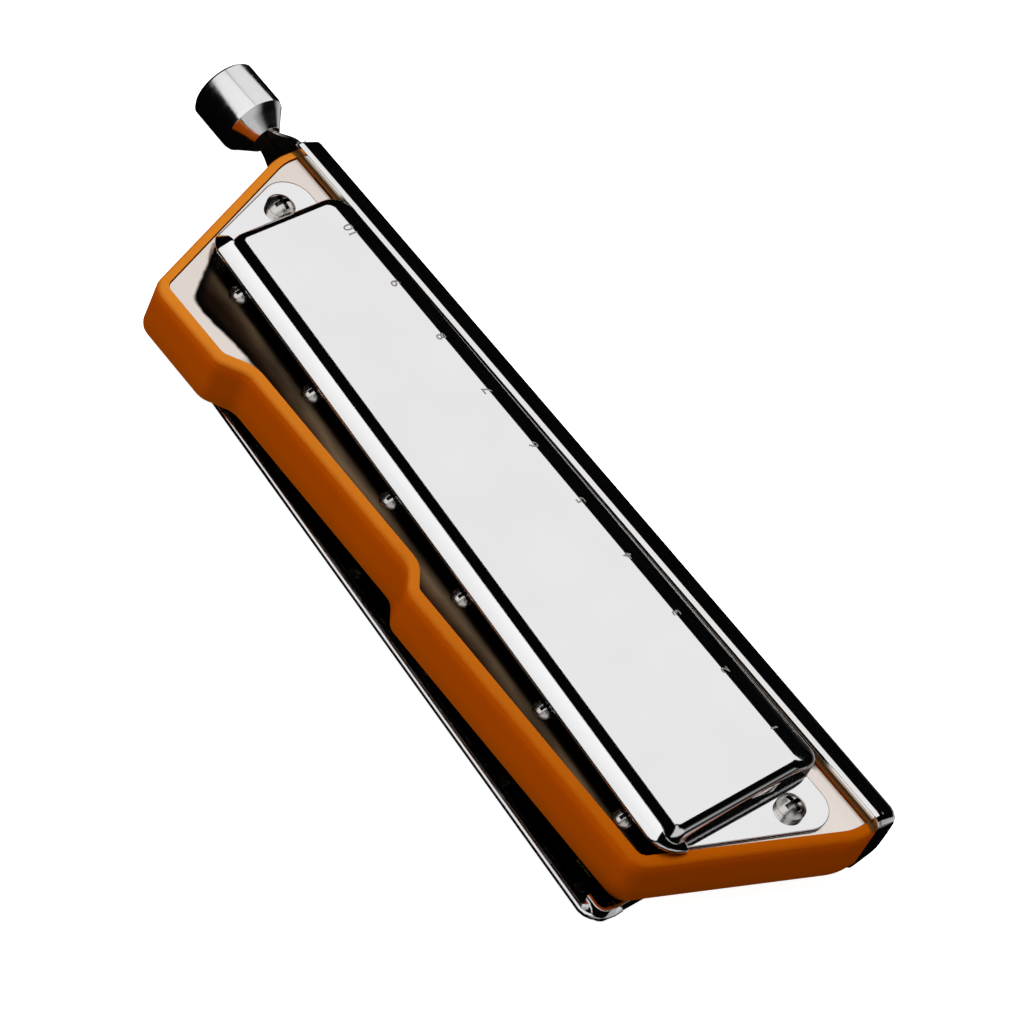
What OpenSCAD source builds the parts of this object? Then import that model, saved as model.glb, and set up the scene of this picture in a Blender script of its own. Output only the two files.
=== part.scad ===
/* [Scale of the instrument] */
// Number of mouth holes
holes = 10; // [8:1:12]
// Distance from one mouth hole to the next
pitch = 9; // [8.6:0.1:9.6]
// Height of the comb, rim to rim
comb_height = 8; // [7.6:0.1:9]
// Height of the top cover's flat above the comb's middle plane
cover_rise = 7.6; // [7.2:0.1:9]

/* [Comb] */
// Depth of the comb from its front face to its rear wall
comb_depth = 29.9; // [29:0.1:32]
// Length of the comb and mouthpiece past the outer holes' centres
end_reach = 15.65; // [15.2:0.05:17]
// Angle by which each end leans in towards the rear
end_angle = 20.5; // [16:0.5:22]
// Thickness of the rim round the reed plates
rim_wall = 1.35; // [1:0.05:1.6]
// Width of the front rim between reed plate and mouthpiece
front_rim = 0.4; // [0.35:0.05:0.7]
// Depth of the finger rest in the rear wall
rest_depth = 2.5; // [1.5:0.1:3]
// Treble end of the finger rest
rest_right = 31.7; // [28:0.5:33]
// Bass end of the finger rest
rest_left = -2.3; // [-6:0.5:2]
// Radius of the comb's outer edges
comb_round = 0.9; // [0.4:0.1:1.1]
// Width of one air cell
cell_w = 3.6; // [3.2:0.1:3.7]
// Thickness of the floor between upper and lower cells
floor_t = 0.8; // [0.6:0.1:1.2]

/* [Reed plates and reeds] */
// Thickness of a reed plate
plate_t = 0.9; // [0.8:0.05:1.1]
// Depth of the plate's face below the comb's rim
plate_sink = 0.25; // [0.15:0.05:0.4]
// Length of the longest reed slot, hole 1
slot_long = 17.5; // [15:0.5:18]
// Length of the shortest reed slot, last hole
slot_short = 10; // [8:0.5:12]
// Width of a reed slot
slot_w = 2.1; // [1.9:0.05:2.2]
// Thickness of a reed
reed_t = 0.2; // [0.15:0.05:0.3]
// Thickness of a valve strip
valve_t = 0.15; // [0.1:0.05:0.2]
// Diameter of a rivet's shank
rivet_d = 1; // [0.8:0.1:1.2]

/* [Covers] */
// Thickness of the cover sheet
sheet = 0.4; // [0.3:0.05:0.5]
// Angle of the slanted rear edge
cover_slant = 4.3; // [3:0.1:5]
// Depth of the upper flat at mid length
upper_flat = 16.65; // [14:0.05:17.5]
// Depth of the lower flat at mid length
lower_flat = 22.85; // [20:0.05:23.5]
// Slope of the covers' front bevel
front_slope = 24; // [20:1:28]
// Width of the rear lip, upper cover
upper_lip = 1.55; // [1.1:0.05:1.8]
// Width of the rear lip, lower cover
lower_lip = 1.1; // [0.8:0.1:1.5]
// Drop of the step before the upper lip
upper_step = 1.3; // [0.8:0.05:1.4]
// Drop of the step before the lower lip
lower_step = 0.6; // [0.5:0.05:1]

/* [Mouthpiece and slide] */
// Depth of the mouthpiece
mouth_depth = 4.7; // [4.4:0.1:5.5]
// Height of the mouthpiece
mouth_height = 10.4; // [10.2:0.1:11.6]
// Width of the flat strip along the mouthpiece's top and bottom
mouth_flat = 0.67; // [0.4:0.01:1]
// Angle at which the mouthpiece slopes from its strips to the front
mouth_slope = 22.7; // [20:0.1:25]
// Radius of the mouthpiece's front edges
mouth_round = 1.6; // [1.2:0.1:2]
// Diameter of a mouth hole
hole_d = 6.4; // [6.2:0.1:6.8]
// Thickness of the rear channel plate
channel_t = 0.5; // [0.4:0.05:0.6]
// Thickness of the slide
slide_t = 0.6; // [0.5:0.05:0.7]
// Thickness of the front plate
front_t = 0.4; // [0.3:0.05:0.5]
// Width of a slide window
window_w = 4.2; // [3.8:0.1:4.3]
// Diameter of the push button
button_d = 8.86; // [8:0.1:10]
// Length of the button's cylinder
button_len = 6.8; // [5:0.1:7.5]
// Length of the button's cone
button_cone = 2.5; // [2:0.1:3.5]

/* [Fasteners] */
// Diameter of the cover screws' heads
cover_head_d = 3.7; // [3.2:0.1:3.8]
// Diameter of the reed plate screws' heads
plate_head_d = 2.7; // [2.4:0.1:2.8]

/* [Hidden] */
$fn = 32;
cut = 1;

// The comb's middle plane is z = 0 and its front face y = 0 inside the modules;
// seat() then moves every piece so that the lower cover's flat rests at z = 0.
rest_y = 15.6;
top = comb_height / 2;
half_l = (holes - 1) / 2 * pitch + end_reach;
plate_z = top - plate_sink;
cell_top = plate_z - plate_t;
fit = 0.1;
snug = 0.02;

// Slide stack, from the comb forward, and its travel
glide = 0.05;
travel = pitch / 2;
slide_back = -channel_t - glide;
slide_mid = slide_back - slide_t / 2;
front_back = slide_back - slide_t - glide;
pocket_y = front_back - front_t;
flange_t = 0.45;
pocket_z = mouth_height / 2 - flange_t;
channel_z = pocket_z - glide;
lip_t = 0.2;
slide_z = channel_z - lip_t - glide;
window_z = (floor_t / 2 + cell_top) / 2;
window_h = cell_top - floor_t / 2;

// Reed layout
cell_gap = 0.7;
reed_x = (cell_w + cell_gap) / 2;
slot_y = 4.6;
rivet_gap = 1.6;
pad_w = 2.6;
pad_l = 2.8;
cell_past = 3;
rivet_head_d = 1.6;
rivet_head_t = 0.3;

// Screws
mouth_screw_x = half_l - 6.05;
mouth_screw_d = 2;
mouth_screw_in = 5.5;
bumper_d = 3;
cover_screw_x = half_l - 7.25;
cover_screw_y = 8.05;
cover_screw_d = 2;
cover_head_t = 1.5;
nut_t = 1.2;
nut_af = 4;
plate_screw_d = 1.6;
plate_head_t = 1.05;
plate_screw_y = comb_depth - 5.9;
plate_screw_xs = [for (k = [0.833, 2.7, 4.467], s = [-1, 1]) s * k * pitch];

// Cover plan and section
flat_front = 4.7;
front_lean = 0.7;
foot_front = 0.95;
flat_end = half_l - 11.3;
foot_end = flat_end + 1.6;
end_round = 1.5;
bead_r = 0.4;
slant = tan(cover_slant);

// Spring pocket at the treble end of the comb
spring_wire = 0.5;
spring_x = mouth_screw_x - 1.35;
spring_y = 4.9;
spring_r = 1.1;
spring_z = cell_top - 0.3;
spring_drop = 0.98;
pocket_floor = spring_z - spring_drop - spring_wire / 2 - 0.12;
post_r = 0.7;
spring_tip_x = spring_x + travel / 2;

function hole_x(i) = (i - (holes - 1) / 2) * pitch;
function slot_len(i) = slot_long + (slot_short - slot_long) * i / (holes - 1);
function slot_end(i) = slot_y + slot_len(i);

// Corner of an outline as an arc that is tangent to both its sides
function unit(v) = v / norm(v);
function corner(a, b, c, r, n) =
    let (u = unit(a - b), w = unit(c - b), half = acos(min(1, max(-1, u * w))) / 2,
        side = sign(u.x * w.y - u.y * w.x), reach = r / tan(half),
        centre = b + unit(u + w) * r / sin(half), start = b + u * reach - centre,
        turn = (180 - 2 * half) * side)
    r <= 0 ? [b] : [for (k = [0 : n]) let (t = -turn * k / n)
        centre + [start.x * cos(t) - start.y * sin(t), start.x * sin(t) + start.y * cos(t)]];
function rounded(p, r, n) = let (m = len(p))
    [for (i = [0 : m - 1]) each corner(p[(i + m - 1) % m], p[i], p[(i + 1) % m], r[i], n)];

// Outline moved inwards by d on every side, counter-clockwise
function side_normal(p, i) = let (v = unit(p[(i + 1) % len(p)] - p[i])) [-v.y, v.x];
function inset(p, d) = let (m = len(p)) [for (i = [0 : m - 1])
    let (a = side_normal(p, (i + m - 1) % m), b = side_normal(p, i))
    p[i] + (a + b) * d / (1 + a * b)];

// Comb outline, in by d: straight front, leaning ends, finger rest in the rear wall
end_lean = tan(end_angle);
end_kink = 2.9;
rear_x = half_l - end_lean * (comb_depth - end_kink);
function comb_corners() = [[(rest_left + rest_right) / 2, 0], [half_l, 0], [half_l, end_kink],
    [rear_x, comb_depth], [rest_right + 1.7, comb_depth], [rest_right - 1.7, comb_depth - rest_depth],
    [rest_left + 1.4, comb_depth - rest_depth], [rest_left - 1.4, comb_depth],
    [-rear_x, comb_depth], [-half_l, end_kink], [-half_l, 0]];
comb_radii = [0, 0, 9, 2.6, 3, 3, 2.4, 2.4, 2.6, 9, 0];
comb_turns = [0, 0, -1, -1, -1, 1, 1, -1, -1, -1, 0];
function comb_outline(d, front = 0) = let (p = inset(comb_corners(), d))
    rounded([for (i = [0 : 10]) [p[i].x, comb_turns[i] == 0 ? front : p[i].y]],
        [for (i = [0 : 10]) comb_radii[i] == 0 ? 0 : comb_radii[i] + comb_turns[i] * d], 5);

// Solid through rings of equal length, lowest ring first
module skin(rings) {
    n = len(rings[0]);
    m = len(rings);
    polyhedron(points = [for (r = rings) each r],
        faces = concat([[for (i = [0 : n - 1]) i]],
            [for (k = [0 : m - 2], i = [0 : n - 1], t = [0, 1]) let (j = (i + 1) % n, a = k * n, b = a + n)
                t == 0 ? [a + i, b + i, b + j] : [a + i, b + j, a + j]],
            [[for (i = [n : -1 : 1]) (m - 1) * n + i % n]]));
}

module seat() {
    translate([0, -rest_y, cover_rise]) children();
}

// The lower half repeats the upper one, mirrored in the comb's middle plane
module below() {
    mirror([0, 0, 1]) children();
}

module at_screws(x, y) {
    for (s = [-1, 1]) translate([s * x, y, 0]) children();
}

module rounded_comb() {
    edge = [for (a = [0 : 30 : 90]) [comb_round * (1 - sin(a)), comb_round * (1 - cos(a))]];
    lower = [for (e = edge) [for (p = comb_outline(e.x)) [p.x, p.y, e.y - top]]];
    upper = [for (k = [len(edge) - 1 : -1 : 0]) [for (p = comb_outline(edge[k].x))
        [p.x, p.y, top - edge[k].y]]];
    skin(concat(lower, upper));
}

// Outline of the recess for a reed plate, in by d
module plate_recess(d = 0) {
    polygon(comb_outline(rim_wall + d, front_rim + d));
}

module cells() {
    for (i = [0 : holes - 1], s = [-1, 1])
        translate([hole_x(i) + s * reed_x - cell_w / 2, -cut, floor_t / 2])
            cube([cell_w, cut + slot_end(i) + cell_past, cell_top - floor_t / 2]);
}

module plate_screw_places() {
    for (x = plate_screw_xs) translate([x, plate_screw_y - slant * x, 0]) children();
}

// Pocket for the return spring, with the post that its coil sits on
module spring_pocket() {
    translate([0, 0, pocket_floor]) linear_extrude(cell_top - pocket_floor + cut) difference() {
        union() {
            polygon([[spring_x - 3, -cut], [spring_x + 3, -cut], [spring_x + 1.5, spring_y],
                [spring_x - 1.5, spring_y]]);
            translate([spring_x, spring_y]) circle(spring_r + 0.6);
            translate([spring_x, spring_y + 0.1]) square([5.2, 1.3]);
        }
        translate([spring_x, spring_y]) circle(post_r);
    }
}

module comb() color([0.86, 0.42, 0.06]) seat() difference() {
    rounded_comb();
    for (side = [0, 1]) mirror([0, 0, side]) {
        translate([0, 0, cell_top]) linear_extrude(plate_t + plate_sink + cut) plate_recess();
        cells();
    }
    spring_pocket();
    at_screws(cover_screw_x, cover_screw_y) cylinder(d = cover_screw_d + 0.2, h = comb_height, center = true);
    plate_screw_places() cylinder(d = plate_screw_d + 0.2, h = comb_height, center = true);
    at_screws(mouth_screw_x, -cut) rotate([-90, 0, 0])
        cylinder(d = mouth_screw_d + snug, h = cut + mouth_screw_in + 0.3);
}

// One reed plate, face up: twenty slots, rivet holes and screw holes
module reed_plate(screw_hole) {
    translate([0, 0, cell_top]) linear_extrude(plate_t) difference() {
        plate_recess(fit);
        for (i = [0 : holes - 1], s = [-1, 1]) {
            translate([hole_x(i) + s * reed_x - slot_w / 2, slot_y]) square([slot_w, slot_len(i)]);
            translate([hole_x(i) + s * reed_x, rivet_y(i, s)]) circle(d = rivet_d + 2 * snug);
        }
        at_screws(cover_screw_x, cover_screw_y) circle(d = cover_screw_d + 0.2);
        plate_screw_places() circle(d = screw_hole);
    }
}
module upper_reed_plate() color([0.80, 0.76, 0.70]) seat() reed_plate(plate_screw_d + 0.2);
module lower_reed_plate() color([0.80, 0.76, 0.70]) seat() below() reed_plate(plate_screw_d + 2 * snug);

// Draw reeds lie outside and are riveted behind their slots, blow reeds inside and in front
function rivet_y(i, s) = s > 0 ? slot_end(i) + rivet_gap : slot_y - rivet_gap;
module reed(i, s) {
    width = slot_w - 0.2;
    root = s > 0 ? slot_end(i) : slot_y;
    tip = s > 0 ? slot_y + 0.1 : slot_end(i) - 0.1;
    translate([hole_x(i) + s * reed_x, 0, 0]) linear_extrude(reed_t) difference() {
        union() {
            translate([-pad_w / 2, rivet_y(i, s) - pad_l / 2]) square([pad_w, pad_l]);
            polygon([[-width / 2, root + s], [-width * 0.42, tip], [width * 0.42, tip], [width / 2, root + s]]);
        }
        translate([0, rivet_y(i, s)]) circle(d = rivet_d + 2 * snug);
    }
}
module draw_reeds() {
    for (i = [0 : holes - 1]) translate([0, 0, plate_z]) reed(i, 1);
}
module blow_reeds() {
    for (i = [0 : holes - 1]) translate([0, 0, cell_top - reed_t]) reed(i, -1);
}
module upper_draw_reeds() color([0.83, 0.68, 0.36]) seat() draw_reeds();
module upper_blow_reeds() color([0.83, 0.68, 0.36]) seat() blow_reeds();
module lower_draw_reeds() color([0.83, 0.68, 0.36]) seat() below() draw_reeds();
module lower_blow_reeds() color([0.83, 0.68, 0.36]) seat() below() blow_reeds();

// A rivet's head bears on its reed's pad, its tail on the plate's other face
module rivets() {
    for (i = [0 : holes - 1], s = [-1, 1])
        translate([hole_x(i) + s * reed_x, rivet_y(i, s), 0]) {
            low = cell_top - (s < 0 ? reed_t : 0);
            high = plate_z + (s > 0 ? reed_t : 0);
            translate([0, 0, low]) cylinder(d = rivet_d, h = high - low, $fn = 20);
            translate([0, 0, high]) cylinder(d1 = rivet_head_d, d2 = rivet_d, h = rivet_head_t, $fn = 20);
            translate([0, 0, low - rivet_head_t])
                cylinder(d1 = rivet_d, d2 = rivet_head_d, h = rivet_head_t, $fn = 20);
        }
}
module upper_rivets() color([0.75, 0.62, 0.36]) seat() rivets();
module lower_rivets() color([0.75, 0.62, 0.36]) seat() below() rivets();

// Valve strips cover each slot on the face away from its reed
module valves(s, z) {
    for (i = [0 : holes - 1])
        translate([hole_x(i) + s * reed_x - slot_w / 2 - 0.25, slot_y - 0.3, z])
            cube([slot_w + 0.5, slot_len(i) + 0.6, valve_t]);
}
module upper_outer_valves() color([0.90, 0.90, 0.84]) seat() valves(-1, plate_z);
module upper_inner_valves() color([0.90, 0.90, 0.84]) seat() valves(1, cell_top - valve_t);
module lower_outer_valves() color([0.90, 0.90, 0.84]) seat() below() valves(-1, plate_z);
module lower_inner_valves() color([0.90, 0.90, 0.84]) seat() below() valves(1, cell_top - valve_t);

// Cross recess, cut into a head from its top
module cross_recess(size, depth) {
    for (a = [0, 90]) rotate([0, 0, a])
        translate([-size / 2, -size / 8, -depth]) cube([size, size / 4, depth + cut]);
}

// Domed head of given diameter and height with a straight side, seated on z = 0
module domed_head(d, h, side) {
    rise = h - side;
    ball = (d * d / 4 + rise * rise) / (2 * rise);
    difference() {
        union() {
            cylinder(d = d, h = side);
            translate([0, 0, side]) intersection() {
                translate([0, 0, rise - ball]) sphere(ball);
                cylinder(d = d, h = rise);
            }
        }
        translate([0, 0, h]) cross_recess(d * 0.62, h * 0.6);
    }
}

module reed_plate_screws() color([0.78, 0.76, 0.72]) seat() plate_screw_places() {
    translate([0, 0, -plate_z]) cylinder(d = plate_screw_d, h = 2 * plate_z);
    translate([0, 0, plate_z]) domed_head(plate_head_d, plate_head_t, 0.25);
}

// Height of the covers' outer skin along the front bevel, the ends and the rear step
function front_at(z, x) = let (bevel = flat_front - x * tan(front_lean) - (cover_rise - z) / tan(front_slope))
    max(foot_front, bevel) + 0.12 * max(0, 1 - abs(bevel - foot_front) / 0.6);
function end_at(z) = foot_end - 0.1 * (z - plate_z) / (cover_rise - plate_z)
    - end_round * (1 - sqrt(max(0, 1 - pow(max(0, z - cover_rise + end_round) / end_round, 2))));
function step_at(z) = (cover_rise - z) * 0.577 - max(0, cover_rise - 1.4 - z) * 0.4;

// Plan of a cover's skin at height z, moved in by t
function cover_ring(z, t, rear) =
    let (e = end_at(z) - t, r = flat_front + rear + step_at(z) - t, k = max(0, foot_end - e) / end_round,
        a = max(0.6, 2.2 - 1.3 * k), b = max(0.3, 1.4 - 1.1 * k))
    [for (p = rounded([[-e, front_at(z, -e) + t], [e, front_at(z, e) + t], [e, r - slant * e],
        [-e, r + slant * e]], [a, a, b, b], 7)) [p.x, p.y, z]];
module cover_skin(t, rear, low) {
    levels = [low, 4.9, 5.4, 5.7, 5.95, 6.2, 6.45, 6.7, 6.95, 7.15, 7.32, 7.45, 7.54, 7.585, 7.6];
    rings = [for (z = levels) cover_ring(min(z * cover_rise / 7.6, cover_rise), t, rear)];
    skin([for (r = rings) [for (p = r) [p.x, p.y, p.z - t]]]);
}

// Flange that lies on the reed plate at each end and takes the cover screw
module cover_ear(reach) {
    out = 0.3 + rim_wall;
    function x_at(y) = half_l - end_lean * (y - end_kink) - out / cos(end_angle);
    difference() {
        polygon(rounded([[foot_end - 1.2, 2.9], [x_at(2.9) - 0.4, 2.9], [x_at(reach), reach],
            [foot_end - 1.2, reach]], [0, 3.4, 1, 0], 8));
        translate([cover_screw_x, cover_screw_y]) circle(d = cover_screw_d + 0.2);
    }
}

// Rear lip, swept along the foot of the step: it slopes down to a round hem. At the bass end it
// turns the corner, at the treble end it narrows to a wing, and both run down to the reed plate
function lip_section(w) = let (fall = 0.5 * w, c = [w, -0.25 - fall])
    concat([[-0.35, -0.45], [w - 0.2, -0.55 - fall]],
        [for (a = [-80 : 30 : 70]) c + bead_r * [cos(a), sin(a)]], [[0.02, -0.02], [-0.3, 0.1]]);
function lip_ring(w, x, y, z, a) = [for (p = lip_section(w)) [x + p.x * sin(a), y + p.x * cos(a), z + p.y]];
function lip_seat(w) = plate_z + 0.9 + 0.5 * w;
module cover_lip(rear, step, w) {
    z = cover_rise - step;
    y = flat_front + rear + step_at(z);
    turn = 2;
    xb = foot_end - 0.9 - turn;
    xt = foot_end - 0.4;
    bass = [for (a = [-90 : 15 : 0]) lip_ring(w, -xb + turn * sin(a - cover_slant),
        y + slant * xb - turn + turn * cos(a - cover_slant), z - (z - lip_seat(w)) * pow(a / 90, 2),
        a - cover_slant + 2 * cover_slant * (-a / 90))];
    treble = [for (t = [0.25 : 0.25 : 1]) let (v = w * (1 - 0.65 * t), x = xt + 1.9 * t)
        lip_ring(v, x, y - slant * x - 0.6 * t * t, z - (z - lip_seat(v)) * pow(t, 1.5), 35 * t)];
    skin(concat(bass, [lip_ring(w, xt, y - slant * xt, z, 0)], treble));
}

// Cover, upper side up: skin, ears, rear opening and lip
module cover(rear, step, lip) {
    open_z = cover_rise - step - 0.2;
    span = 2 * flat_end - 2.6;
    difference() {
        union() {
            difference() {
                cover_skin(0, rear, plate_z);
                cover_skin(sheet, rear, plate_z - cut);
            }
            for (side = [0, 1]) mirror([side, 0, 0])
                translate([0, 0, plate_z]) linear_extrude(sheet) difference() {
                    cover_ear(side == 0 ? comb_depth - 11.5 : comb_depth - 6.5);
                    square([foot_end - 0.3, 100]);
                }
        }
        translate([0, flat_front + 4, 0]) rotate([-90, 0, 0]) linear_extrude(40)
            polygon([for (p = rounded([[-span / 2, -cut], [span / 2, -cut], [span / 2, open_z],
                [-span / 2, open_z]], [0, 0, 1.4, 1.4], 5)) [p.x, -p.y]]);
        rim_clearance();
    }
    cover_lip(rear, step, lip);
}

// Room for the comb's raised rim where a cover passes over it
module rim_clearance() {
    translate([0, 0, -cut]) linear_extrude(top + fit + cut) difference() {
        polygon(comb_outline(-1));
        polygon(comb_outline(rim_wall + 0.2));
    }
}

module upper_cover() color([0.88, 0.88, 0.89]) seat() cover(upper_flat, upper_step, upper_lip);
module lower_cover() color([0.88, 0.88, 0.89]) seat() below() cover(lower_flat, lower_step, lower_lip);

module cover_screws() color([0.80, 0.79, 0.77]) seat() at_screws(cover_screw_x, cover_screw_y) {
    grip = plate_z + sheet;
    translate([0, 0, -grip - nut_t]) cylinder(d = cover_screw_d, h = 2 * grip + nut_t);
    translate([0, 0, grip]) domed_head(cover_head_d, cover_head_t, 0.6);
}
module cover_nuts() color([0.80, 0.79, 0.77]) seat() at_screws(cover_screw_x, cover_screw_y)
    translate([0, 0, -plate_z - sheet - nut_t]) difference() {
        cylinder(d = nut_af / cos(30), h = nut_t, $fn = 6);
        translate([0, 0, -cut]) cylinder(d = cover_screw_d + 2 * snug, h = nut_t + 2 * cut);
    }

// Mouthpiece section in y and z: flat back, narrow strips above and below, sloped and rounded front,
// at the treble end and a rounder bass end
mouth_ends = [[0.5, 0], [0.2, 0.12], [0.05, 0.3], [0, 0.6]];
bass_round = [for (a = [90 : -22.5 : 0]) [1.3 * (1 - cos(a)), 1.6 * (1 - sin(a))]];
function mouth_corners() = let (h = mouth_height / 2, y = mouth_depth - 0.2,
        z = h - (y - mouth_flat) * tan(mouth_slope))
    [[0, -h], [0, h], [-mouth_flat, h], [-y, z], [-mouth_depth, 0], [-y, -z], [-mouth_flat, -h]];
function mouth_ring(x, d) = [for (p = rounded(inset(mouth_corners(), d),
    [for (r = [0.12, 0.12, 0.3, mouth_round, 8, mouth_round, 0.3]) max(r - d, 0.05)], 5)) [x, p.x, p.y]];
function bass_ring(x, d) = [for (p = mouth_ring(x, 0))
    [x, p.y * (1 - d / mouth_depth), p.z * (1 - 2 * d / mouth_height)]];

module mouthpiece() color([0.88, 0.88, 0.89]) seat() difference() {
    skin(concat([for (e = bass_round) bass_ring(e.y - half_l, e.x)],
        [for (i = [len(mouth_ends) - 1 : -1 : 0]) mouth_ring(half_l - mouth_ends[i].y, mouth_ends[i].x)]));
    translate([-half_l + 1, pocket_y, -pocket_z]) cube([2 * half_l, cut - pocket_y, 2 * pocket_z]);
    for (i = [0 : holes - 1]) translate([hole_x(i), 0, 0]) rotate([90, 0, 0]) {
        cylinder(d = hole_d, h = mouth_depth + cut, $fn = 48);
        translate([0, 0, mouth_depth - 0.7]) cylinder(d1 = hole_d, d2 = hole_d + 2, h = 1, $fn = 48);
    }
    at_screws(mouth_screw_x, 0) rotate([90, 0, 0]) {
        cylinder(d = mouth_screw_d + 0.2, h = mouth_depth + cut);
        translate([0, 0, mouth_depth - 1]) cylinder(d1 = mouth_screw_d, d2 = mouth_screw_d + 2, h = 1);
    }
}

// Countersunk screws through the slide's plates into the comb, heads flush with the mouthpiece
module mouthpiece_screws() color([0.80, 0.79, 0.77]) seat() at_screws(mouth_screw_x, 0) rotate([90, 0, 0])
    difference() {
        union() {
            translate([0, 0, -mouth_screw_in]) cylinder(d = mouth_screw_d, h = mouth_screw_in + mouth_depth - 0.1);
            translate([0, 0, mouth_depth - 0.9]) cylinder(d1 = mouth_screw_d, d2 = mouth_screw_d + 1.7, h = 0.9);
        }
        translate([0, 0, mouth_depth]) cross_recess(1.8, 0.5);
    }

// Windows at each hole: rows of two, the upper one shifted by dx_up and the lower by dx_low
module windows(dx_up, dx_low) {
    for (i = [0 : holes - 1]) {
        translate([hole_x(i) + dx_up - window_w / 2, window_z - window_h / 2]) square([window_w, window_h]);
        translate([hole_x(i) + dx_low - window_w / 2, -window_z - window_h / 2]) square([window_w, window_h]);
    }
}

// Flat plate drawn in x and z, from y = front to y = front + t
module upright(front, t) {
    translate([0, front + t, 0]) rotate([90, 0, 0]) linear_extrude(t) children();
}

// Channel plate against the comb: lips above and below guide the slide's edges
module slide_channel() color([0.84, 0.80, 0.74]) seat() {
    length = 2 * half_l - 1 - fit;
    upright(-channel_t, channel_t) difference() {
        translate([half_l - length, -channel_z]) square([length, 2 * channel_z]);
        windows(0, 0);
        at_screws(mouth_screw_x, 0) circle(d = mouth_screw_d + 0.2);
        hull() for (x = [-travel / 2, travel / 2])
            translate([spring_x + x, spring_z]) circle(spring_wire / 2 + 0.2);
    }
    for (s = [-1, 1]) translate([half_l - length, front_back, s > 0 ? channel_z - lip_t : -channel_z])
        cube([length, -front_back - channel_t, lip_t]);
}

module slide_front_plate() color([0.84, 0.80, 0.74]) seat() upright(pocket_y, front_t) difference() {
    length = 2 * half_l - 1 - fit;
    translate([half_l - length, -channel_z]) square([length, 2 * channel_z]);
    for (i = [0 : holes - 1]) translate([hole_x(i) - window_w / 2 - 0.2, -window_z - window_h / 2 - 0.2])
        square([window_w + 0.4, 2 * window_z + window_h + 0.4]);
    at_screws(mouth_screw_x, 0) circle(d = mouth_screw_d + 0.2);
}

// Slide: windows staggered by half a pitch, a slot round the treble post, a fork round the
// bass post, and a tang that narrows to the button in an S-curve
tang_x = half_l + 5;
tang_half = 1.9;
function tang_at(k) = let (x = half_l - 0.1 + (tang_x - half_l + 0.6) * k)
    [x, tang_half + (slide_z - tang_half) * (0.5 + 0.5 * cos(180 * k))];
module slide_outline() {
    left = -half_l + 5.8;
    polygon(concat([[left, -slide_z]], [for (k = [0 : 0.1 : 1]) [tang_at(k).x, -tang_at(k).y]],
        [[tang_x + 3.5, -tang_half], [tang_x + 3.5, tang_half]],
        [for (k = [1 : -0.1 : 0]) tang_at(k)], [[left, slide_z]]));
}
module post_slot(x0, x1) {
    translate([x0, -bumper_d / 2]) square([x1 - x0, bumper_d]);
    for (x = [x0, x1]) translate([x, 0]) circle(d = bumper_d);
}
module slide() color([0.80, 0.79, 0.78]) seat() upright(slide_back - slide_t, slide_t) difference() {
    slide_outline();
    windows(0, travel);
    post_slot(mouth_screw_x, mouth_screw_x + travel);
    post_slot(-mouth_screw_x - 8, -mouth_screw_x + travel);
    translate([spring_tip_x, spring_z]) circle(spring_wire / 2 + 0.1);
}

// Push button: cylinder with a rounded inner edge, cone and a slot for the slide's tang
module slide_button() color([0.82, 0.81, 0.80]) seat() translate([tang_x, slide_mid, 0]) difference() {
    r = button_d / 2;
    tip = button_cone + button_len;
    rotate([90, 0, 90]) rotate_extrude($fn = 64) polygon([[0, 0], [2.1, 0], [r - 0.55, button_cone - 0.35],
        [r - 0.15, button_cone + 0.05], [r, button_cone + 0.6], [r, tip - 0.35], [r - 0.35, tip], [0, tip]]);
    translate([-cut, -slide_t / 2 - snug, -tang_half - snug])
        cube([3.5 + cut + snug, slide_t + 2 * snug, 2 * (tang_half + snug)]);
}

// Rubber sleeves round the two posts, which the slide meets at each end of its travel
module slide_bumpers() color([0.12, 0.12, 0.12]) seat() at_screws(mouth_screw_x, -channel_t - 0.1)
    rotate([90, 0, 0]) difference() {
        cylinder(d = bumper_d - 2 * glide, h = slide_t - 0.1 + glide);
        translate([0, 0, -cut]) cylinder(d = mouth_screw_d + 2 * snug, h = slide_t + 2 * cut);
    }

// Return spring: one wire with a coil on the comb's post, a long arm into the slide and a short leg
function spring_path() = let (start = atan2(spring_y - slide_mid, -travel / 2) + 262)
    concat([[spring_tip_x, slide_mid - 0.15, spring_z], [spring_tip_x, -channel_t / 2, spring_z]],
        [for (k = [0 : 24]) let (a = start - (start + 270) * k / 24)
            [spring_x + spring_r * cos(a), spring_y + spring_r * sin(a), spring_z - spring_drop * k / 24]],
        [[spring_x + 4.4, spring_y + spring_r, spring_z - spring_drop]]);
module wire(path, d) {
    r = d / 2;
    function along(i) = unit(path[min(i + 1, len(path) - 1)] - path[max(i - 1, 0)]);
    skin([for (i = [0 : len(path) - 1]) let (t = along(i), u = unit(cross([0, 0, 1], t)), v = cross(t, u))
        [for (a = [0 : 60 : 300]) path[i] + r * (u * cos(a) - v * sin(a))]]);
}
module slide_spring() color([0.72, 0.70, 0.66]) seat() wire(spring_path(), spring_wire);

comb();
upper_reed_plate();
lower_reed_plate();
upper_draw_reeds();
upper_blow_reeds();
lower_draw_reeds();
lower_blow_reeds();
upper_rivets();
lower_rivets();
upper_outer_valves();
upper_inner_valves();
lower_outer_valves();
lower_inner_valves();
reed_plate_screws();
upper_cover();
lower_cover();
cover_screws();
cover_nuts();
mouthpiece();
mouthpiece_screws();
slide_channel();
slide_front_plate();
slide();
slide_button();
slide_bumpers();
slide_spring();
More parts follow.
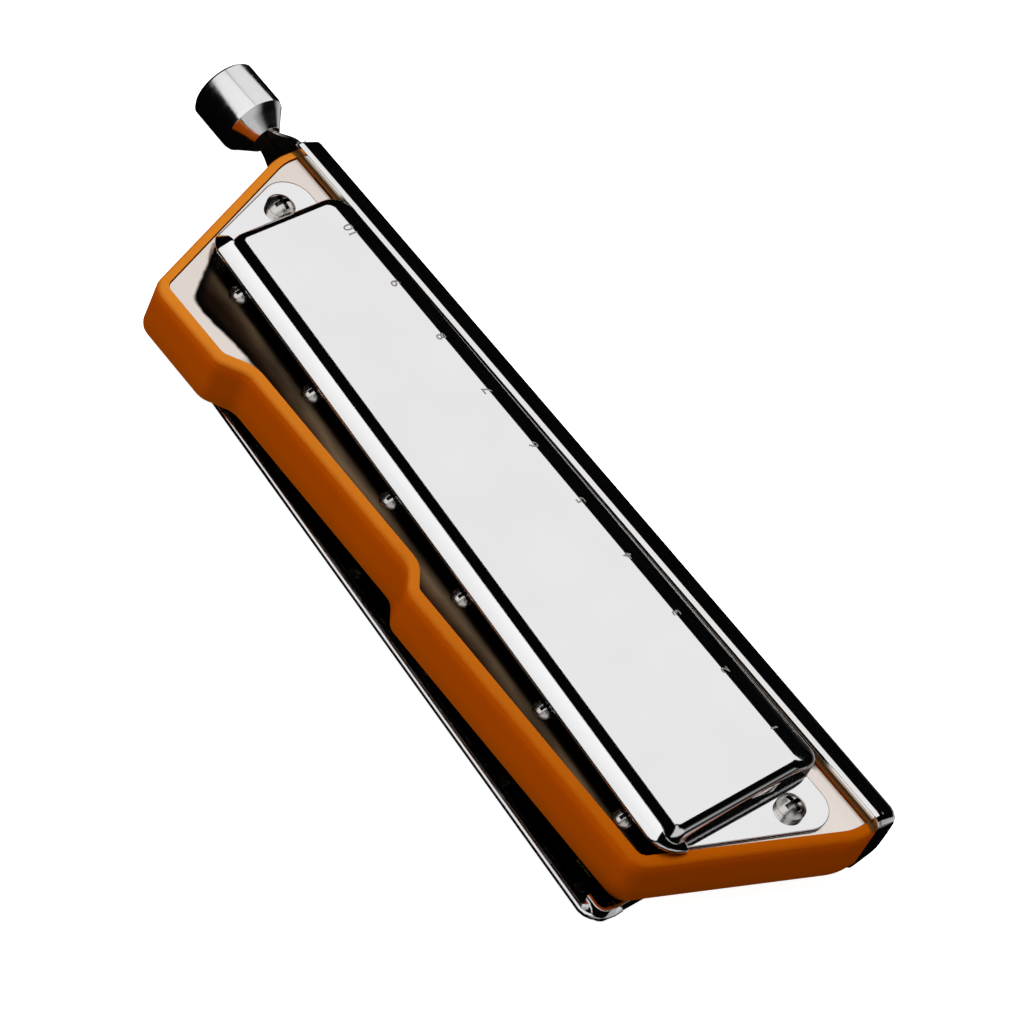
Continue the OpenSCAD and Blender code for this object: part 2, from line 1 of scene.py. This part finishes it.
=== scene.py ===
import bpy
import bmesh
import math
import numpy as np
from mathutils import Matrix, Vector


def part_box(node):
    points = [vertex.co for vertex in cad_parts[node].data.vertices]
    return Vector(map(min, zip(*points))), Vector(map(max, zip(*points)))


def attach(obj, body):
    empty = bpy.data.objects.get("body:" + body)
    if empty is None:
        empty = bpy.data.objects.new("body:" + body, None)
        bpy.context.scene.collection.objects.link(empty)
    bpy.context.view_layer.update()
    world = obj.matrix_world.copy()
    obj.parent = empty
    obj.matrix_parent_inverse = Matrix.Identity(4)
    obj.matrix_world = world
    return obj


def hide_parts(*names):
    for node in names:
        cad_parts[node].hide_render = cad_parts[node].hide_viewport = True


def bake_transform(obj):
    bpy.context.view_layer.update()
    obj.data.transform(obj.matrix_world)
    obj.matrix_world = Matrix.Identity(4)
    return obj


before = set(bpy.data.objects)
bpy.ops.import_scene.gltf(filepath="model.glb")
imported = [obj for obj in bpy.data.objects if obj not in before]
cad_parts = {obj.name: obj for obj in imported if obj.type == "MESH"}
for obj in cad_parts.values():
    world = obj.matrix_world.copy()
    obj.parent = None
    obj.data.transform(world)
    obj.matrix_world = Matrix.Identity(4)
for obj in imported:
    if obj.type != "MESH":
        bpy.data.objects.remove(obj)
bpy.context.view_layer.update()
scene = bpy.context.scene


# Camera
# A long lens above the rear of the instrument, rolled so that it lies from the
# button at the upper left down to the bass end at the lower right.
def added(name, data):
    """A new object in the scene."""
    thing = bpy.data.objects.new(name, data)
    scene.collection.objects.link(thing)
    return thing


focal_pixels, picture_pixels, sensor_width = 4300.0, 1024.0, 36.0
right = np.array([-0.61145, -0.72536, 0.31620])
down = np.array([-0.72217, 0.34824, -0.59766])
ahead = np.array([0.32341, -0.59379, -0.73676])
place = np.array([-0.16356, 0.29453, 0.38295])
lens_cam = bpy.data.cameras.new("camera")
lens_cam.sensor_width = sensor_width
lens_cam.lens = focal_pixels / picture_pixels * sensor_width
lens_cam.clip_start = 0.01
camera = added("camera", lens_cam)
camera.matrix_world = Matrix([
    [right[k], -down[k], -ahead[k], place[k]] for k in range(3)] + [[0, 0, 0, 1]])
scene.camera = camera
scene.view_settings.view_transform = "Standard"


# Table
# A plain white table, which glows so that it meets the white behind it without a
# line. Polished metal doesn't mirror it.
def feed(socket, value):
    """Sets a socket to a value, or links it to the output of another node."""
    if isinstance(value, bpy.types.NodeSocket):
        socket.id_data.links.new(value, socket)
    else:
        socket.default_value = value


def new_material(name):
    """A new material, made of nodes."""
    material = bpy.data.materials.new(name)
    material.use_nodes = True
    return material


def surface(material, colour, roughness, metallic=0.0):
    """Sets the colour, roughness and metal of a material, and gives its shader."""
    shader = material.node_tree.nodes["Principled BSDF"]
    feed(shader.inputs["Base Color"], colour)
    feed(shader.inputs["Roughness"], roughness)
    feed(shader.inputs["Metallic"], metallic)
    return shader


table_half = 3
corners = table_half * np.array([(-1, -1, 0), (1, -1, 0), (1, 1, 0), (-1, 1, 0)])
table_mesh = bpy.data.meshes.new("table")
table_mesh.from_pydata(corners.tolist(), [], [(0, 1, 2, 3)])
table = added("table", table_mesh)
white = new_material("white table")
white_shader = surface(white, (0.93, 0.93, 0.93, 1), 0.9)
feed(white_shader.inputs["Emission Color"], (1, 1, 1, 1))
feed(white_shader.inputs["Emission Strength"], 0.95)
table.data.materials.append(white)
table.visible_glossy = False


# Sky
# White to the eye and dark to the metal, apart from grey cards: one low in front,
# for the mouthpiece, and two at the bass side, for the button's cone and the flats.
def node(tree, kind, settings=None, **inputs):
    """A new node in a tree, with its settings, and with its inputs set or linked."""
    made = tree.nodes.new("ShaderNode" + kind)
    for setting, value in (settings or {}).items():
        setattr(made, setting, value)
    for socket, value in inputs.items():
        feed(made.inputs[socket], value)
    return made


def formula(operation, *values):
    """A math node over values. Each is a number or the output of a node, and one at
    least is an output, which tells the tree."""
    tree = next(value.id_data for value in values if isinstance(value, bpy.types.NodeSocket))
    made = node(tree, "Math", {"operation": operation})
    for socket, value in zip(made.inputs, values):
        feed(socket, value)
    return made.outputs[0]


def times(*values):
    """The product of values."""
    product = values[0]
    for value in values[1:]:
        product = formula("MULTIPLY", product, value)
    return product


def line(value, slope, offset):
    """The value, times a slope, plus an offset."""
    return formula("MULTIPLY_ADD", value, slope, offset)


def axes(vector):
    """The three parts of a vector."""
    made = node(vector.id_data, "SeparateXYZ", Vector=vector)
    return made.outputs["X"], made.outputs["Y"], made.outputs["Z"]


def stretch(value, low, high, to_low=0.0, to_high=1.0, curve="LINEAR"):
    """The value between low and high, taken to another range and held at its ends."""
    made = node(value.id_data, "MapRange", {"interpolation_type": curve})
    for socket, amount in (("Value", value), ("From Min", low), ("From Max", high),
                           ("To Min", to_low), ("To Max", to_high)):
        feed(made.inputs[socket], amount)
    return made.outputs["Result"]


def card(*edges):
    """How far inside a card a ray lies, 0 to 1: the product of its soft edges, each an
    axis with the place where the card starts and the place where it is whole."""
    return times(*(stretch(*edge) for edge in edges))


room_glow, front_glow, side_glow = 0.0012, 0.5, 0.55
sky = bpy.data.worlds.new("studio")
scene.world = sky
sky.use_nodes = True
air = sky.node_tree
air.nodes.clear()
ray = node(air, "LightPath")
across, back, up = axes(node(air, "TexCoord").outputs["Generated"])
front_card = card((across, 0.26, 0.10), (across, -0.80, -0.64), (back, -0.15, -0.45),
                  (up, 0.02, -0.30), (up, -0.66, -0.52))
bass_card = card((across, -0.70, -0.84))
rear_card = card((across, -0.28, -0.44), (back, 0.0, 0.25))
side_cards = times(formula("MAXIMUM", bass_card, rear_card), stretch(up, 0.0, 0.14),
                   ray.outputs["Is Glossy Ray"])
gloom = formula("ADD", line(front_card, front_glow, room_glow), times(side_cards, side_glow))
seen = node(air, "Background", Color=(1, 1, 1, 1), Strength=1.0)
mirrored = node(air, "Background", Color=(1, 1, 1, 1), Strength=gloom)
choose = node(air, "MixShader")
for socket, value in zip(choose.inputs, (ray.outputs["Is Camera Ray"], mirrored.outputs[0],
                                         seen.outputs[0])):
    feed(socket, value)
node(air, "OutputWorld", Surface=choose.outputs[0])


# Lamps
# A tent of two tilted soft boxes with a narrow seam at its ridge, seen in the
# covers' flats, and a wide fill above that metal doesn't mirror.
def soft_box(name, x, low, high, radiance, tint):
    """A rectangular lamp over the x range between two edges, each given by y and z,
    that faces the instrument. Its power follows from the brightness of its face."""
    lamp = bpy.data.lights.new(name, "AREA")
    lamp.shape = "RECTANGLE"
    edge = np.array([high[0] - low[0], high[1] - low[1]])
    lamp.size, lamp.size_y = x[1] - x[0], float(np.linalg.norm(edge))
    lamp.color = tint
    lamp.energy = radiance * math.pi * lamp.size * lamp.size_y
    up_edge = edge / lamp.size_y
    normal = np.array([up_edge[1], -up_edge[0]])
    middle = np.array([(low[0] + high[0]) / 2, (low[1] + high[1]) / 2])
    if normal @ middle < 0:
        normal = -normal
    along = np.cross([0, up_edge[0], up_edge[1]], [0, normal[0], normal[1]])
    thing = added(name, lamp)
    thing.matrix_world = Matrix([
        [along[0], 0, 0, (x[0] + x[1]) / 2], [0, up_edge[0], normal[0], middle[0]],
        [0, up_edge[1], normal[1], middle[1]], [0, 0, 0, 1]])
    thing.visible_camera = False
    return thing


tent_x, fill_x = (-0.10, 0.30), (-0.15, 0.15)
soft_box("front box", tent_x, low=(-0.55, 0.1146), high=(-0.072, 0.445),
         radiance=0.84, tint=(1.0, 0.99, 0.985))
soft_box("rear box", tent_x, low=(0.50, 0.28), high=(-0.060, 0.45),
         radiance=0.95, tint=(1.0, 1.0, 1.0))
fill = soft_box("fill", fill_x, low=(-0.15, 0.5), high=(0.15, 0.5),
                radiance=4.5, tint=(1.0, 0.99, 0.97))
fill.visible_glossy = False


# Comb
# One moulding of caramel orange plastic, whose rear wall has a long rest for the
# fingers. Light and shade are painted into its colour: the rim, which holds the reed
# plates, is a lit copy of the orange, with a painted highlight that pales it towards
# the treble end and painted shade, dark brown, in the gap along the mouthpiece. The
# walls are a shaded copy, with painted shade darker towards the foot and on the
# faces towards the bass end.
def coordinates(material):
    """The place of a point on its piece, in metres."""
    return node(material.node_tree, "TexCoord").outputs["Object"]


def noise(where, scale, detail=3.0, pull=None):
    """Noise over coordinates, pulled longer along an axis where pull is small."""
    if pull is not None:
        where = node(where.id_data, "Mapping", Vector=where, Scale=pull).outputs[0]
    return node(where.id_data, "TexNoise", Vector=where, Scale=scale, Detail=detail).outputs["Fac"]


def spread(fine, low, high):
    """Noise, which is about 0.3 to 0.7, taken to the range low to high."""
    return stretch(fine, 0.3, 0.7, low, high)


def blended(value, first, second):
    """A colour between two, by a value of 0 to 1."""
    made = node(value.id_data, "Mix", {"data_type": "RGBA"})
    feed(made.inputs["Factor"], value)
    for socket, colour in (("A", first), ("B", second)):
        feed(made.inputs[socket], (*colour, 1) if isinstance(colour, tuple) else colour)
    return made.outputs["Result"]


def ramp(value, stops):
    """A colour ramp over 0 to 1 from pairs of place and colour."""
    made = node(value.id_data, "ValToRGB", Fac=value)
    points = made.color_ramp.elements
    while len(points) > 1:
        points.remove(points[-1])
    points[0].position = stops[0][0]
    points[0].color = (*stops[0][1], 1)
    for spot, colour in stops[1:]:
        points.new(spot).color = (*colour, 1)
    return made.outputs["Color"]


def scaled(colour, by):
    """The colour, times a value."""
    made = node(colour.id_data, "VectorMath", {"operation": "SCALE"}, Vector=colour, Scale=by)
    return made.outputs[0]


def soften(material, radius, relief=None, strength=0.1):
    """Rounds the shading of edges by a radius, with a faint relief on top."""
    tree = material.node_tree
    normal = node(tree, "Bevel", {"samples": 8}, Radius=radius).outputs["Normal"]
    if relief is not None:
        normal = node(tree, "Bump", Strength=strength, Distance=0.00002, Height=relief,
                      Normal=normal).outputs["Normal"]
    feed(tree.nodes["Principled BSDF"].inputs["Normal"], normal)


def smoothed(piece, angle):
    """Smooth shading across the edges of a piece that turn less than the angle."""
    piece.data.polygons.foreach_set("use_smooth", [True] * len(piece.data.polygons))
    weld = piece.modifiers.new("weld", "WELD")
    weld.merge_threshold = 0.000001
    split = piece.modifiers.new("split", "EDGE_SPLIT")
    split.split_angle = math.radians(angle)
    split.use_edge_sharp = False
    weight = piece.modifiers.new("weight", "WEIGHTED_NORMAL")
    weight.weight = 75
    weight.keep_sharp = False


def dress(material, *names, smooth=None):
    """Gives pieces of the frame a material and, up to an angle, smooth shading."""
    for name in names:
        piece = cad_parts[name]
        piece.data.materials.clear()
        piece.data.materials.append(material)
        if smooth is not None:
            smoothed(piece, smooth)


comb_foot, comb_top = (float(corner[2]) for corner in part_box("comb"))
# painted light: the rim's lit orange pales to a painted highlight towards the treble end, and
# painted shade browns it in the gap along the mouthpiece
rim_orange_x, treble_highlight_x = -0.050, 0.040
gap_edge_y, gap_y = -0.0147, -0.0151
rim_lit_orange, rim_treble_highlight, gap_shade = (0.50, 0.100, 0.001), (0.76, 0.238, 0.020), (0.12, 0.053, 0.015)
plastic = new_material("orange plastic")
where = coordinates(plastic)
x, y, z = axes(where)
facing = axes(node(plastic.node_tree, "NewGeometry").outputs["Normal"])
flow = spread(noise(where, 60.0, 2.0), 0.96, 1.04)
# painted shade: the walls are a shaded copy of the orange, darker towards the foot
wall = ramp(stretch(z, comb_foot, comb_top), [
    (0.04, (0.205, 0.043, 0.0006)), (0.18, (0.245, 0.042, 0.0004)),
    (0.36, (0.278, 0.045, 0.0003)), (0.62, (0.282, 0.045, 0.0003)),
    (0.76, (0.308, 0.047, 0.0003)), (0.88, (0.385, 0.060, 0.0003))])
rim = blended(stretch(x, rim_orange_x, treble_highlight_x), rim_lit_orange, rim_treble_highlight)
rim = blended(stretch(y, gap_edge_y, gap_y), rim, gap_shade)
# painted shade on the wall faces that turn towards the bass end
bass_end_shade = stretch(facing[0], -1.0, -0.1, 0.64, 1.0)
# painted light: faces turned up take the lit rim colours, the others the shaded wall
plastic_shader = surface(
    plastic,
    blended(stretch(facing[2], 0.15, 0.85),
            scaled(wall, times(bass_end_shade, flow)), scaled(rim, flow)),
    spread(noise(where, 900.0), 0.20, 0.27))
plastic_shader.inputs["Specular IOR Level"].default_value = 0.0
soften(plastic, 0.0002, noise(where, 2500.0, 2.0), 0.03)
dress(plastic, "comb", smooth=40)


# Reed plates
# Two plates of nickel-plated brass, sunk just under the comb's rims and screwed on.
# Along the rear opening, the dark reflection of the cover's inside is painted into a
# plate's colour, brown to black, and painted shade darkens a strip along its front,
# by the mouthpiece; past the cover's treble corner it keeps its own colour and
# catches the lamps.
def two_tone(fine, first, second):
    """Two colours, mottled by noise."""
    return blended(spread(fine, 0, 1), first, second)


rear_line_y, rear_line_slope = 0.00794, 0.077
corner_line_facing, corner_line_distance = (0.81, 0.58), 0.04058
corner_round, treble_x = 0.0025, (0.0300, 0.0325)
cover_middle_y, cover_ends_x = 0.0015, (-0.0464, 0.0480)
front_strip_y, front_strip_fade = -0.0143, 0.0010
plate = new_material("plated brass")
where = coordinates(plate)
lines = noise(where, 700.0, 4.0, (0.06, 1.0, 1.0))
x, y = axes(where)[:2]

# how far a point lies outside the painted dark reflection, which ends in a line along
# the rear rim and a slanting one at the treble corner, rounded where they meet
past_rear = formula("SUBTRACT", y, line(x, rear_line_slope, rear_line_y))
past_corner = line(y, corner_line_facing[1], line(x, corner_line_facing[0], -corner_line_distance))
past_zone = formula("SMOOTH_MAX", past_rear, past_corner, corner_round)
waver = times(spread(noise(where, 300.0), -1, 1), 0.0002)
lit = stretch(formula("ADD", past_zone, waver), -0.0001, 0.0004, curve="SMOOTHSTEP")
treble = stretch(x, *treble_x)
under_cover = formula("LESS_THAN", y, cover_middle_y)
bass_end = formula("LESS_THAN", x, cover_ends_x[0])
# painted shade: a dark strip along the front of the plate, by the mouthpiece
front_shade_strip = times(formula("LESS_THAN", y, front_strip_y),
                    stretch(x, cover_ends_x[0], cover_ends_x[0] + front_strip_fade),
                    stretch(x, cover_ends_x[1], cover_ends_x[1] - front_strip_fade))
open_part = formula("MAXIMUM", formula("MAXIMUM", under_cover, bass_end), times(lit, treble))
open_part = times(open_part, formula("SUBTRACT", 1.0, front_shade_strip))

# inside it, the painted reflection: a brown band between two dark ones, patchy along its length,
# with a painted dark border at the treble corner
wander = line(spread(noise(where, 90.0), -1, 1), 0.0006, line(x, 0.075, y))
patches = spread(noise(where, 130.0, 4.0, (0.4, 1.0, 1.0)), 0.2, 2.0)
reflection_band = ramp(stretch(wander, 0.0065, 0.0125), [
    (0.0, (0.006, 0.004, 0.003)), (0.3, (0.014, 0.009, 0.006)), (0.48, (0.036, 0.024, 0.014)),
    (0.64, (0.085, 0.056, 0.032)), (0.84, (0.034, 0.018, 0.009)), (0.95, (0.014, 0.006, 0.003))])
border = times(treble, stretch(past_zone, -0.0012, -0.0004))
painted_dark_reflection = scaled(scaled(reflection_band, patches), line(border, -0.85, 1.0))
bright = two_tone(lines, (0.87, 0.79, 0.73), (0.95, 0.87, 0.81))
surface(plate, blended(open_part, painted_dark_reflection, bright), spread(lines, 0.16, 0.26), 1.0)
soften(plate, 0.00005, lines, 0.05)
dress(plate, "upper_reed_plate", "lower_reed_plate")


# Reeds and rivets
# Each reed is a strip of rolled brass, held by one rivet through its pad. Draw
# reeds lie outside the plates and blow reeds inside the cells.
brass = new_material("rolled brass")
lines = noise(coordinates(brass), 1500.0, 4.0, (1.0, 0.08, 1.0))
surface(brass, two_tone(lines, (0.62, 0.44, 0.17), (0.74, 0.55, 0.24)),
        spread(lines, 0.18, 0.32), 1.0)
soften(brass, 0.00004, lines, 0.08)
dress(brass, "upper_draw_reeds", "upper_blow_reeds", "lower_draw_reeds", "lower_blow_reeds",
      "upper_rivets", "lower_rivets")


# Valve strips
# Thin strips of matt film, which lie on the plates over the slots, held at one end.
# Each closes its slot when air comes the other way.
film = new_material("valve film")
surface(film, two_tone(noise(coordinates(film), 800.0), (0.76, 0.75, 0.68),
                       (0.84, 0.83, 0.77)), 0.6)
dress(film, "upper_outer_valves", "upper_inner_valves", "lower_outer_valves", "lower_inner_valves")


# Covers
# Pressed from thin sheet and chromed: a flat top, a front bevel, steep ends, a rear
# lip with a rolled edge, and two ears that are screwed down on the reed plate. Past
# its step the lip is painted a little greyer, in fine streaks.
step_y, step_slope = 0.0065, -0.0752
chrome = new_material("polished chrome")
where = coordinates(chrome)
x, y = axes(where)[:2]
past_step = line(x, -step_slope, formula("ADD", y, -step_y))
streaks = spread(noise(where, 2600.0, 2.0, (0.02, 1.0, 0.3)), 0.10, 0.16)
# the lip is painted a little greyer past its step, in fine streaks
lip_greying = formula("SUBTRACT", 1.0, times(stretch(past_step, 0.0003, 0.0017), streaks))
clean = two_tone(noise(where, 90.0), (0.94, 0.94, 0.95), (0.97, 0.97, 0.975))
surface(chrome, scaled(clean, lip_greying), spread(noise(where, 260.0), 0.045, 0.075), 1.0)
soften(chrome, 0.00025)
dress(chrome, "upper_cover", "lower_cover", smooth=18)


# Screws and nuts
# Small nickel-plated steel screws with domed heads and a cross recess, whose inside
# is painted dark as shade, by occlusion.
plated = new_material("plated steel")
grain = noise(coordinates(plated), 2500.0)
# painted shade: the colour darkens where the head's own surfaces close in, as in the cross recess
recess_shade = node(plated.node_tree, "AmbientOcclusion", {"samples": 8, "only_local": True},
              Distance=0.0008)
surface(plated, scaled(two_tone(grain, (0.66, 0.63, 0.60), (0.76, 0.73, 0.70)),
                       stretch(recess_shade.outputs["AO"], 0.45, 0.95, 0.02, 1.0)),
        spread(grain, 0.21, 0.29), 1.0)
soften(plated, 0.0001)
dress(plated, "cover_screws", "cover_nuts", "reed_plate_screws", "mouthpiece_screws", smooth=35)


# Mouthpiece
# A rounded bar, chromed all over, with a countersunk round hole for each note. Two
# screws hold it on the comb, over the slide and its plates.
mouth = new_material("mouthpiece chrome")
where = coordinates(mouth)
surface(mouth, two_tone(noise(where, 120.0), (0.90, 0.90, 0.90), (0.94, 0.94, 0.94)),
        spread(noise(where, 300.0), 0.04, 0.07), 1.0)
soften(mouth, 0.00005)
dress(mouth, "mouthpiece", smooth=18)


# Slide, its plates and button
# A flat steel slide with two rows of windows, between a channel plate and a front
# plate. Its tang carries a turned and polished button, and rubber sleeves stop it.
steel = new_material("ground steel")
lines = noise(coordinates(steel), 1200.0, 4.0, (0.05, 1.0, 1.0))
surface(steel, two_tone(lines, (0.55, 0.52, 0.48), (0.66, 0.63, 0.59)),
        spread(lines, 0.15, 0.28), 1.0)
soften(steel, 0.00005, lines, 0.06)
dress(steel, "slide", "slide_channel", "slide_front_plate")

turned = new_material("turned metal")
rings = noise(coordinates(turned), 2600.0, 3.0, (1.0, 0.05, 0.05))
surface(turned, two_tone(rings, (0.84, 0.84, 0.84), (0.90, 0.90, 0.90)),
        spread(rings, 0.10, 0.18), 1.0)
soften(turned, 0.0001)
dress(turned, "slide_button", smooth=22)

rubber = new_material("black rubber")
surface(rubber, two_tone(noise(coordinates(rubber), 1500.0),
                         (0.012, 0.012, 0.012), (0.03, 0.03, 0.03)), 0.7)
dress(rubber, "slide_bumpers")


# Return spring
# One round wire: a coil on the comb's post, a short leg in its groove and a long
# arm into the slide.
def tube(name, path, radius, sides):
    """A closed round tube. Each point of the path has a ring round it: a radius, times
    the cosine of a turn along the level normal of the path, plus its sine along the
    other normal. A fan of triangles closes each end."""
    along = np.gradient(path, axis=0)
    along /= np.linalg.norm(along, axis=1)[:, None]
    level = np.cross([0.0, 0.0, 1.0], along)
    level /= np.linalg.norm(level, axis=1)[:, None]
    other = np.cross(along, level)
    turn = np.linspace(0, 2 * math.pi, sides, endpoint=False)
    ring_points = path[:, None] + radius * (np.cos(turn)[None, :, None] * level[:, None]
                                            + np.sin(turn)[None, :, None] * other[:, None])
    points = np.vstack([ring_points.reshape(-1, 3), path[:1], path[-1:]])
    corner = np.arange(sides)
    following = (corner + 1) % sides
    ring = sides * np.arange(len(path) - 1)[:, None]
    wall = np.stack([ring + corner, ring + following, ring + sides + following,
                     ring + sides + corner], axis=-1).reshape(-1, 4)
    last_ring, first_middle = sides * (len(path) - 1), sides * len(path)
    fans = np.vstack([
        np.column_stack([following, corner, np.full(sides, first_middle)]),
        np.column_stack([corner, following, np.full(sides, first_middle + 1)])
        + [last_ring, last_ring, 0]])
    mesh = bpy.data.meshes.new(name)
    mesh.from_pydata(points.tolist(), [], wall.tolist() + fans.tolist())
    mesh.polygons.foreach_set("use_smooth", [True] * len(wall) + [False] * len(fans))
    return added(name, mesh)


wire_radius, wire_sides = 0.00025, 12
coil_radius, coil_points = 0.0011, 90
arm_points, leg_points = 12, 8
tip_from_leg_end, tip_from_coil = 0.00215, 0.00225
low, high = (np.array(corner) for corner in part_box("slide_spring"))

# the solid's wire has six sides, so it is flatter than this one
solid_half = wire_radius * math.cos(math.radians(30))
tip = np.array([high[0] - tip_from_leg_end, low[1], high[2] - solid_half])
coil = np.array([tip[0] - tip_from_coil, high[1] - wire_radius - coil_radius, tip[2]])
drop = (high[2] - low[2]) - 2 * solid_half

# the coil starts where the arm touches it and ends where the leg leaves it
reach = tip[:2] - coil[:2]
start = math.degrees(math.atan2(reach[1], reach[0])) + math.degrees(
    math.acos(coil_radius / float(np.hypot(*reach))))
turns = np.linspace(math.radians(start + 360), math.radians(-270), coil_points)
wound = np.column_stack([coil[0] + coil_radius * np.cos(turns),
                         coil[1] + coil_radius * np.sin(turns),
                         coil[2] - drop * np.linspace(0, 1, coil_points)])
arm = tip + (wound[0] - tip) * np.linspace(0, 1, arm_points)[:-1, None]
leg = np.column_stack([np.linspace(coil[0], high[0], leg_points)[1:],
                       np.full(leg_points - 1, coil[1] + coil_radius),
                       np.full(leg_points - 1, coil[2] - drop)])
spring = tube("return_spring", np.vstack([arm, wound, leg]), wire_radius, wire_sides)
spring.data.materials.append(steel)
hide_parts("slide_spring")
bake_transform(spring)


# Hole numbers
# Fine numbers, etched in grey across the fold between the upper cover's flat and
# its front bevel, one over each hole, read from the player's side.
holes, hole_pitch = 10, 0.009
number_y, number_size, number_bolder, number_half_depth = -0.0111, 0.0020, 0.000015, 0.00001
fold_y, fold_lean = -0.0109, -math.tan(math.radians(0.7))
bevel_slope = math.tan(math.radians(24))
flat_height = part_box("upper_cover")[1][2]
etched = new_material("etched grey")
surface(etched, two_tone(noise(coordinates(etched), 3000.0), (0.24, 0.22, 0.21),
                         (0.32, 0.30, 0.28)), 0.7)
for number in range(1, holes + 1):
    sign = bpy.data.curves.new("number", "FONT")
    sign.body = str(number)
    sign.size = number_size
    sign.offset = number_bolder
    sign.extrude = number_half_depth
    sign.align_x = "CENTER"
    sign.align_y = "CENTER"
    text = added("number_%02d" % number, sign)
    bpy.context.view_layer.update()
    mesh = bpy.data.meshes.new_from_object(text)
    bpy.data.objects.remove(text)
    mesh.transform(Matrix.Translation(
        (hole_pitch * (number - (holes + 1) / 2), number_y, flat_height)))

    # cut along the fold, and past it lowered by the bevel's slope
    cut = bmesh.new()
    cut.from_mesh(mesh)
    bmesh.ops.bisect_plane(cut, geom=cut.verts[:] + cut.edges[:] + cut.faces[:],
                           dist=1e-8, plane_co=(0, fold_y, 0), plane_no=(-fold_lean, 1, 0))
    cut.to_mesh(mesh)
    cut.free()
    points = np.empty(3 * len(mesh.vertices), dtype=np.float32)
    mesh.vertices.foreach_get("co", points)
    points = points.reshape(-1, 3)
    past_fold = fold_y + fold_lean * points[:, 0] - points[:, 1]
    points[:, 2] -= bevel_slope * np.maximum(0.0, past_fold)
    mesh.vertices.foreach_set("co", points.ravel())
    mesh.update()
    mesh.materials.clear()
    mesh.materials.append(etched)
    piece = added("number_%02d" % number, mesh)
    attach(piece, "body")
